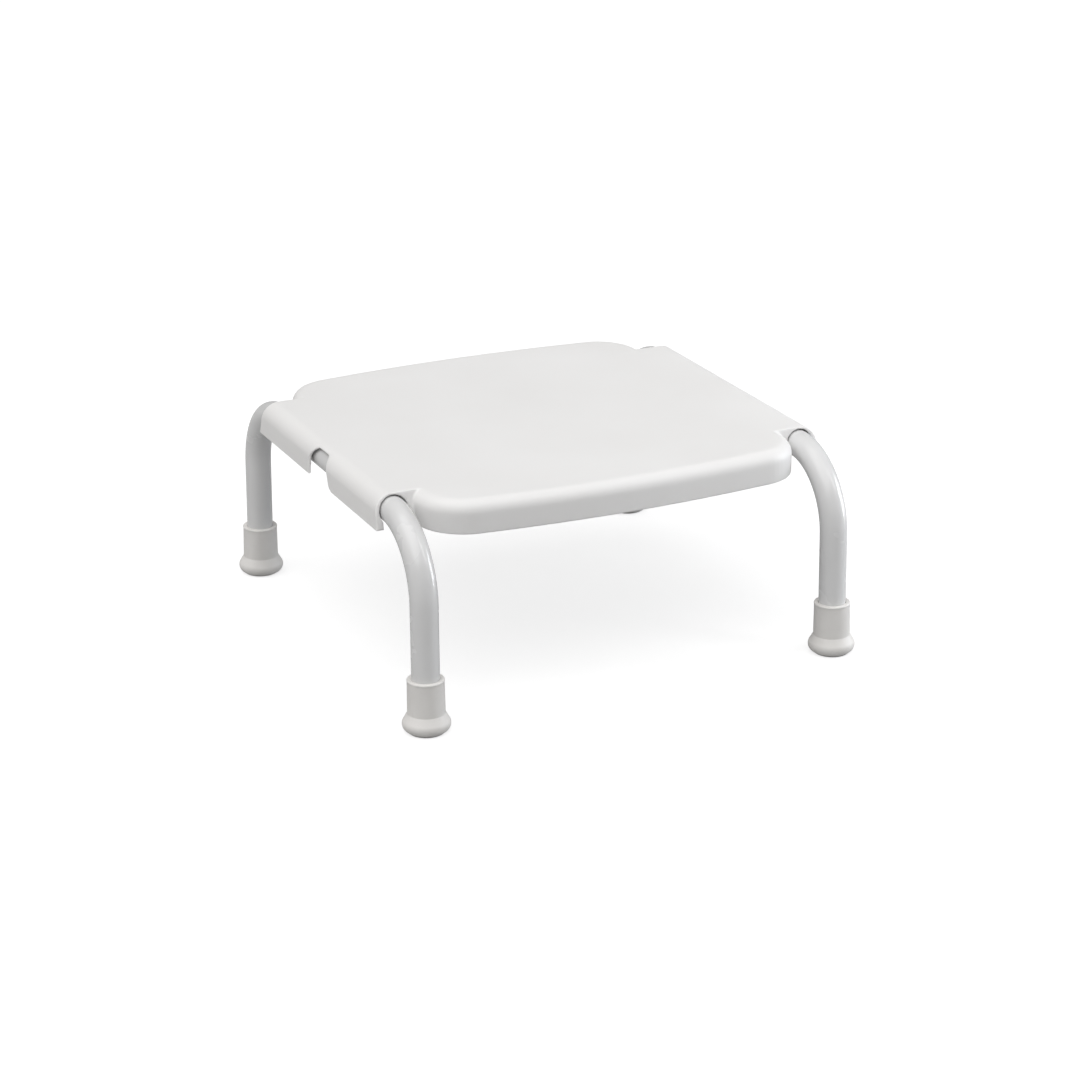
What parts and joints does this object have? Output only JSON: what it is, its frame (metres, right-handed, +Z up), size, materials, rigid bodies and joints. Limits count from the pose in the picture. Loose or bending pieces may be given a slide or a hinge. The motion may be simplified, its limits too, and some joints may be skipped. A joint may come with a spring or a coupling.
{
  "type": "shower stool",
  "caption": "Low shower stool: a moulded seat with side wings that clip over bent tube frames standing on flared rubber ferrules.",
  "frame": {"origin": "on the floor, midway between the four feet", "axes": "+Z up, +Y to the back of the stool, +X to the right of a person facing the way it faces from the front"},
  "size_m": [0.45, 0.4608, 0.1975],
  "materials": {
    "seat_plastic": "satin moulded, white",
    "enamelled_tube": "gloss white enamel",
    "ferrule_rubber": "smooth, off-white",
    "disc_steel": "zinc plated",
    "screw_steel": "stainless, satin",
    "washer_nylon": "natural nylon"
  },
  "bodies": {
    "root": {"seat": "seat_plastic", "left_frame": "enamelled_tube", "right_frame": "enamelled_tube", "front_left_ferrule": "ferrule_rubber", "front_right_ferrule": "ferrule_rubber", "rear_left_ferrule": "ferrule_rubber", "rear_right_ferrule": "ferrule_rubber", "front_left_end_disc": "disc_steel", "front_right_end_disc": "disc_steel", "rear_left_end_disc": "disc_steel", "rear_right_end_disc": "disc_steel", "front_left_screw": "screw_steel", "front_right_screw": "screw_steel", "rear_left_screw": "screw_steel", "rear_right_screw": "screw_steel", "front_left_saddle_washer": "washer_nylon", "front_right_saddle_washer": "washer_nylon", "rear_left_saddle_washer": "washer_nylon", "rear_right_saddle_washer": "washer_nylon"}
  },
  "joints": []
}
